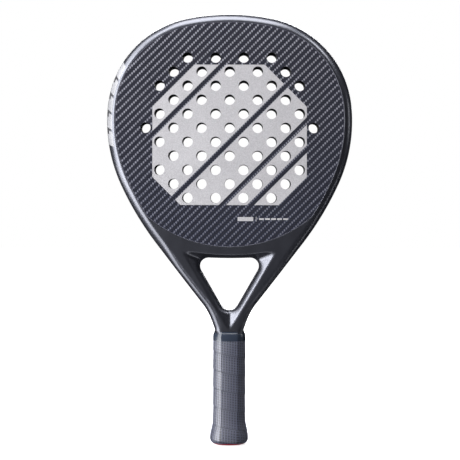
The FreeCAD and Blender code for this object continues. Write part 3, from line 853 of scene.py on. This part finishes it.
TOW = 2.03 / METRE  # width of one carbon tow
TWILL_PERIOD = 4.0  # a 2x2 twill repeats every four tows
TOW_FLOAT = 2.0  # and each tow floats over two others
TOW_CROWN_POWER = 2.5  # how square a tow is across
TOW_HEIGHT_POWER = 0.6  # and along, where it dives under its neighbours
PAINTED_GLINT_POWER = 2.6  # how short the painted glint on its crest is
PAINTED_GLINT_LEVELS = (0.22, 0.44)  # metres, from the head's foot to where the painted glint is brightest


def make(name, recipe, *colours, **settings):
    """A material from a recipe, which gets a node tree and the object's own coordinates in metres
    and returns the main shader's inputs."""
    material = bpy.data.materials.new(name)
    material.use_nodes = True
    tree = material.node_tree
    place = put(tree, "ShaderNodeTexCoord").outputs["Object"]
    inputs = recipe(tree, place, *colours, **settings)
    set_inputs(tree, tree.nodes["Principled BSDF"],
               {key.replace("_", " "): value for key, value in inputs.items()})
    return material


def put(tree, kind, inputs=None, **settings):
    """Adds a node, sets its options, and feeds or sets its inputs by name or number."""
    node = tree.nodes.new(kind)
    for option, value in settings.items():
        setattr(node, option, value)
    set_inputs(tree, node, inputs or {})
    return node


def set_inputs(tree, node, inputs):
    """Sets or links a node's inputs by name or number."""
    for key, value in inputs.items():
        if isinstance(value, bpy.types.NodeSocket):
            tree.links.new(value, node.inputs[key])
        else:
            node.inputs[key].default_value = value


def calc(tree, operation, *values):
    """A math node's result."""
    return put(tree, "ShaderNodeMath", dict(enumerate(values)), operation=operation).outputs[0]


def product(tree, first, *others):
    """Several values multiplied together."""
    for other in others:
        first = calc(tree, "MULTIPLY", first, other)
    return first


def mix(tree, factor, a, b):
    """A colour between two colours, each given as three numbers or as a node's output."""
    a, b = ((*colour, 1) if isinstance(colour, tuple) else colour for colour in (a, b))
    return put(tree, "ShaderNodeMix", {0: factor, 6: a, 7: b}, data_type="RGBA").outputs[2]


def mix_values(tree, factor, a, b):
    """A value between two values."""
    return put(tree, "ShaderNodeMix", {0: factor, 2: a, 3: b}, data_type="FLOAT").outputs[0]


def spread(tree, value, low, high, to_low=0.0, to_high=1.0):
    """A value mapped from one range to another, held at its ends."""
    inputs = {0: value, 1: low, 2: high, 3: to_low, 4: to_high}
    return put(tree, "ShaderNodeMapRange", inputs).outputs[0]


def noise(tree, place, scale, detail=2.0, roughness=0.5):
    """A noise value from 0 to 1."""
    inputs = {"Vector": place, "Scale": scale, "Detail": detail, "Roughness": roughness}
    return put(tree, "ShaderNodeTexNoise", inputs).outputs[0]


def cells(tree, place, scale):
    """The distance to the nearest cell's middle, for foams and leather grain."""
    return put(tree, "ShaderNodeTexVoronoi", {"Vector": place, "Scale": scale}).outputs[0]


def stretched(tree, place, x, y, z):
    """A position scaled differently along each axis."""
    inputs = {0: place, 1: (x, y, z)}
    return put(tree, "ShaderNodeVectorMath", inputs, operation="MULTIPLY").outputs[0]


def bump(tree, height, strength, distance):
    """A normal raised by a height, whose full range stands for a distance in metres."""
    inputs = {"Height": height, "Strength": strength, "Distance": distance}
    return put(tree, "ShaderNodeBump", inputs).outputs[0]


def twill(tree, place):
    """A 2x2 twill in the XZ plane: whether the upright tow is on top, the height of the tow on top
    from 0 at its edges to 1, and a mask for a painted glint that is 1 on the tow's crest and falls
    off around it."""
    axes = put(tree, "ShaderNodeSeparateXYZ", {0: place})
    column = calc(tree, "DIVIDE", axes.outputs[0], TOW)
    row = calc(tree, "DIVIDE", axes.outputs[2], TOW)
    whole = calc(tree, "SUBTRACT", calc(tree, "FLOOR", column), calc(tree, "FLOOR", row))
    step = calc(tree, "FLOORED_MODULO", whole, TWILL_PERIOD)
    upright = calc(tree, "LESS_THAN", step, TOW_FLOAT - 0.5)
    in_column = calc(tree, "FLOORED_MODULO", column, 1.0)
    in_row = calc(tree, "FLOORED_MODULO", row, 1.0)
    passed = calc(tree, "FLOORED_MODULO", step, TOW_FLOAT)
    ahead = calc(tree, "SUBTRACT", 1.0, passed)
    along_upright = product(tree, calc(tree, "ADD", ahead, in_row), 1 / TOW_FLOAT)
    along_level = product(tree, calc(tree, "ADD", passed, in_column), 1 / TOW_FLOAT)
    across = mix_values(tree, upright, in_row, in_column)
    along = mix_values(tree, upright, along_level, along_upright)
    off_centre = calc(tree, "SUBTRACT", product(tree, across, 2.0), 1.0)
    edge = calc(tree, "POWER", calc(tree, "ABSOLUTE", off_centre), TOW_CROWN_POWER)
    crown = calc(tree, "SUBTRACT", 1.0, edge)
    arch = calc(tree, "SINE", product(tree, along, math.pi))
    height = product(tree, crown, calc(tree, "POWER", arch, TOW_HEIGHT_POWER))
    glint = product(tree, crown, calc(tree, "POWER", arch, PAINTED_GLINT_POWER))
    return upright, height, glint


def carbon_weave(tree, place):
    """Carbon twill under a clear resin. The upright tows carry a painted highlight, a glint on
    their crests that is brighter towards the top of the head, while the level tows stay dark; the
    shader also makes each tow shine along the direction across its fibres."""
    upright, height, glint = twill(tree, place)
    strands = noise(tree, stretched(tree, place, 5200.0, 1.0, 260.0), scale=1.0)
    patches = noise(tree, place, scale=55.0, detail=3.0)
    level = put(tree, "ShaderNodeSeparateXYZ", {0: place}).outputs[2]
    # painted highlight: the tows' glint, brighter towards the top of the head
    painted_light = product(tree, glint, spread(tree, strands, 0.3, 0.75, 0.6, 1.15),
                  spread(tree, patches, 0.35, 0.65, 0.8, 1.1),
                  spread(tree, level, *PAINTED_GLINT_LEVELS, 0.48, 1.32))
    # painted cool light: the resin turns bluer towards the head's foot
    resin = mix(tree, spread(tree, level, 0.24, 0.40), *RESIN_WITH_PAINTED_TINT)
    resin_with_painted_glint = mix(tree, painted_light, resin, PAINTED_TOW_GLINT)
    colour = mix(tree, upright, mix(tree, height, *LEVEL_TOW), resin_with_painted_glint)
    shine_direction = put(tree, "ShaderNodeMix", {0: upright, 4: (0, 0, 1), 5: (1, 0, 0)},
                          data_type="VECTOR").outputs[1]
    return dict(Base_Color=colour, Metallic=0.55, Roughness=0.46, Anisotropic=0.85,
                Tangent=shine_direction, Coat_Weight=0.4, Coat_Roughness=0.2,
                Normal=bump(tree, height, strength=0.3, distance=0.00015))


def silver_ink(tree, place, dark, light):
    """Silver-grey ink with a fine metallic grain, through which the weave shows very faintly."""
    _, height, _ = twill(tree, place)
    grain = noise(tree, place, scale=800.0, detail=3.0, roughness=0.7)
    cloud = noise(tree, place, scale=25.0, detail=3.0)
    shade = calc(tree, "ADD", product(tree, grain, 0.7), product(tree, cloud, 0.3))
    colour = mix(tree, spread(tree, shade, 0.35, 0.65), dark, light)
    return dict(Base_Color=colour, Metallic=0.15, Roughness=0.45, Coat_Weight=0.25,
                Coat_Roughness=0.3, Normal=bump(tree, height, strength=0.12, distance=0.0001))


def frame_paint(tree, place):
    """Charcoal lacquer with a fine metallic flake, slight orange peel and light handling marks."""
    flake = noise(tree, place, scale=3800.0, detail=1.0)
    cloud = noise(tree, place, scale=18.0, detail=3.0)
    stripes = stretched(tree, place, 60.0, 60.0, 14.0)
    smears = noise(tree, stripes, scale=1.0, detail=4.0, roughness=0.6)
    peel = noise(tree, place, scale=650.0, detail=1.0)
    sparkle = spread(tree, flake, 0.62, 0.78, 0.0, 0.12)
    colour = mix(tree, sparkle, mix(tree, cloud, *LACQUER), FLAKE)
    return dict(Base_Color=colour, Metallic=0.92,
                Roughness=spread(tree, smears, 0.3, 0.7, 0.34, 0.39), Coat_Weight=1.0,
                Coat_Roughness=0.23, Normal=bump(tree, peel, strength=0.015, distance=0.0002))


def cellular_foam(tree, place, dark, light, scale, roughness, distance):
    """Closed-cell foam: the cells' scale, and how deep they are in metres."""
    pores = cells(tree, place, scale)
    return dict(Base_Color=mix(tree, pores, dark, light), Roughness=roughness,
                Normal=bump(tree, pores, strength=0.5, distance=distance))


def glass_cloth(tree, place):
    """Greenish-grey glass ply, seen only as a fine line inside the holes."""
    _, height, _ = twill(tree, place)
    return dict(Base_Color=mix(tree, height, *GLASS), Roughness=0.5,
                Normal=bump(tree, height, strength=0.2, distance=0.0001))


def grip_skin(tree, place):
    """Slate polyurethane with a fine leather grain; painted shade darkens the perforations and the
    creases between turns.
    """
    pit_and_painted_shade = put(tree, "ShaderNodeAttribute", attribute_name="pit_and_painted_shade").outputs["Fac"]
    grain = cells(tree, place, scale=1900.0)
    cloud = noise(tree, place, scale=90.0, detail=3.0)
    base = mix(tree, spread(tree, cloud, 0.3, 0.7), *GRIP_SLATE)
    # painted shade in the perforations and the creases
    colour = mix(tree, spread(tree, pit_and_painted_shade, 0.05, 0.6), base, PAINTED_PIT_SHADE)
    return dict(Base_Color=colour, Roughness=spread(tree, grain, 0.0, 0.6, 0.40, 0.50),
                Specular_IOR_Level=1.0, Sheen_Weight=1.0, Sheen_Roughness=0.3,
                Sheen_Tint=GRIP_SHEEN, Coat_Weight=0.7, Coat_Roughness=0.32,
                Normal=bump(tree, grain, strength=0.25, distance=0.00015))


def tape_vinyl(tree, place):
    """Glossy blue-black vinyl with fine stretch lines round the handle."""
    lines = noise(tree, stretched(tree, place, 40.0, 40.0, 900.0), scale=1.0, detail=3.0)
    return dict(Base_Color=mix(tree, lines, *VINYL), Roughness=0.24, Coat_Weight=0.6,
                Coat_Roughness=0.12, Normal=bump(tree, lines, strength=0.25, distance=0.0002))


def moulded_plastic(tree, place, dark, light, roughness):
    """Moulded plastic with a fine spark-eroded texture."""
    texture = noise(tree, place, scale=1500.0, detail=3.0)
    return dict(Base_Color=mix(tree, texture, dark, light),
                Roughness=spread(tree, texture, 0.3, 0.7, roughness, roughness + 0.12),
                Normal=bump(tree, texture, strength=0.2, distance=0.0002))


def seam_resin(tree, place):
    """Pale resin at the panels' edge, broken up where the weave's tows end."""
    _, height, _ = twill(tree, place)
    wear = noise(tree, place, scale=420.0)
    colour = mix(tree, product(tree, height, wear), *SEAM_RESIN)
    return dict(Base_Color=colour, Roughness=0.35, Coat_Weight=0.5)


# ==== putting it together

def dress(material, *nodes):
    """Gives CAD nodes that stay in view their finish."""
    for node in nodes:
        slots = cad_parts[node].data.materials
        slots.clear()
        slots.append(material)


dress(make("eva_foam", cellular_foam, *EVA_FOAM, scale=2200.0, roughness=0.85, distance=0.0002),
      "eva_core")
dress(make("carbon_weave", carbon_weave), "front_carbon_ply", "rear_carbon_ply")
dress(make("glass_cloth", glass_cloth), "front_glass_ply", "rear_glass_ply")
dress(make("pale_film", silver_ink, *FILM_INK),
      "front_band_film", "front_badge_film", "rear_band_film", "rear_badge_film")
dress(make("handle_foam", cellular_foam, *HANDLE_FOAM, scale=900.0, roughness=0.9, distance=0.0004),
      "handle_foam_left", "handle_foam_right")
dress(make("cap_plastic", moulded_plastic, *CAP_PLASTIC, roughness=0.5), "butt_cap")

painted_frame(make("painted_frame", frame_paint))
grip_wrap(make("grip_skin", grip_skin))
finishing_tape(make("tape_vinyl", tape_vinyl))
butt_end(make("plate_plastic", moulded_plastic, *PLATE_PLASTIC, roughness=0.35))
rim_marks(make("rim_ink", silver_ink, *RIM_INK),
          make("dark_ink", moulded_plastic, *DARK_INK, roughness=0.6))
panel_seams(make("seam_resin", seam_resin))


# ==== stage, light and camera

# Each light is a rectangle that faces the racket's middle: its place, width and height in metres
# and its power in watts.
LIGHTS = {
    "key": ((-1.16, -1.06, 0.53), 0.6, 1.5, 23.0),
    "low_left": ((-1.10, -0.95, -0.45), 1.2, 0.9, 13.0),
    "upper_left": ((-1.05, -0.35, 1.30), 1.1, 1.0, 17.0),
    "side": ((-1.38, -0.52, 0.15), 0.6, 1.2, 10.5),
    "grip_side": ((-1.45, -0.05, -0.17), 0.5, 0.22, 1.9),
    "top": ((-0.10, -0.28, 1.80), 1.3, 1.2, 33.0),
    "upper_right": ((0.95, -0.45, 1.40), 0.45, 0.45, 5.0),
    "right_edge": ((1.5, 0.05, 0.45), 0.1, 0.4, 0.8),
    "right_low": ((1.35, 0.0, -0.50), 0.1, 0.8, 0.65),
    "below": ((0.30, -0.95, -0.80), 1.2, 0.4, 2.0),
    "rear": ((0.0, 1.80, 0.95), 1.2, 1.0, 22.0),
}
LIGHT_COLOUR = (0.97, 0.975, 1.0)
LIGHT_TARGET = (0.0, 0.0, 0.26)
DIM_ROOM = (0.025, 0.026, 0.033)
WHITE = (1.0, 1.0, 1.0)
FLOOR_GREY = ((0.78, 0.78, 0.80), (0.82, 0.82, 0.84))
FLOOR_HALF_WIDTH = 6.0
FLOOR_DROP = 0.0002  # below the butt, in metres
FLOOR_FADE = (0.05, 0.7)  # metres from the butt over which the floor turns white
FLOOR_GLOW = (0.78, 1.05)

CAMERA_DISTANCE = 1600.0  # from the front face
CAMERA_X = 9.6
CAMERA_Z = 263.2
CAMERA_ROLL = -0.12  # degrees by which the racket leans to the right
PICTURE_WIDTH = 483.0  # how much of the front face's plane the camera takes in
PICTURE_SHIFT = (-9.03, -35.7)  # from the point straight ahead to the picture's middle
SENSOR_WIDTH = 36.0


def softbox(name, place, width, height, power):
    """A rectangular area light that faces the racket."""
    lamp = bpy.data.lights.new(name, "AREA")
    lamp.shape = "RECTANGLE"
    lamp.size = width
    lamp.size_y = height
    lamp.energy = power
    lamp.color = LIGHT_COLOUR
    light = bpy.data.objects.new(name, lamp)
    light.location = place
    direction = Vector(LIGHT_TARGET) - light.location
    light.rotation_euler = direction.to_track_quat("-Z", "Y").to_euler()
    bpy.context.scene.collection.objects.link(light)


def floor_finish(tree, place):
    """Plain pale floor, which fades into the white background all round."""
    distance = put(tree, "ShaderNodeVectorMath", {0: place}, operation="LENGTH").outputs["Value"]
    cloud = noise(tree, place, scale=3.0)
    seen = put(tree, "ShaderNodeLightPath").outputs["Is Camera Ray"]
    glow = product(tree, seen, spread(tree, distance, *FLOOR_FADE, *FLOOR_GLOW))
    return dict(Base_Color=mix(tree, cloud, *FLOOR_GREY), Roughness=0.9,
                Emission_Color=(*WHITE, 1), Emission_Strength=glow)


def pale_floor():
    """A wide floor under the butt, which casts no light on the object."""
    half = FLOOR_HALF_WIDTH
    mesh = bpy.data.meshes.new("floor")
    mesh.from_pydata([(-half, -half, 0), (half, -half, 0), (half, half, 0), (-half, half, 0)],
                     [], [(0, 1, 2, 3)])
    mesh.materials.append(make("floor_finish", floor_finish))
    floor = bpy.data.objects.new("floor", mesh)
    floor.location.z = -FLOOR_DROP
    floor.visible_diffuse = False
    floor.visible_glossy = False
    floor.visible_shadow = False
    bpy.context.scene.collection.objects.link(floor)


def studio_world():
    """White behind the racket for the camera, and a dim room for everything else."""
    world = bpy.data.worlds.new("studio")
    bpy.context.scene.world = world
    world.use_nodes = True
    tree = world.node_tree
    seen = put(tree, "ShaderNodeLightPath").outputs["Is Camera Ray"]
    tree.links.new(mix(tree, seen, DIM_ROOM, WHITE), tree.nodes["Background"].inputs[0])


def long_camera():
    """A long lens square to the front face, a little above the racket's middle."""
    data = bpy.data.cameras.new("camera")
    data.sensor_width = SENSOR_WIDTH
    data.lens = CAMERA_DISTANCE / PICTURE_WIDTH * SENSOR_WIDTH
    data.shift_x = PICTURE_SHIFT[0] / PICTURE_WIDTH
    data.shift_y = PICTURE_SHIFT[1] / PICTURE_WIDTH
    camera = bpy.data.objects.new("camera", data)
    camera.location = (CAMERA_X / METRE, -(CAMERA_DISTANCE + HALF_DEPTH) / METRE, CAMERA_Z / METRE)
    camera.rotation_euler = (math.radians(90), math.radians(CAMERA_ROLL), 0)
    bpy.context.scene.collection.objects.link(camera)
    bpy.context.scene.camera = camera


for light_name, light_settings in LIGHTS.items():
    softbox(light_name, *light_settings)
pale_floor()
studio_world()
long_camera()
bpy.context.scene.view_settings.view_transform = "Standard"
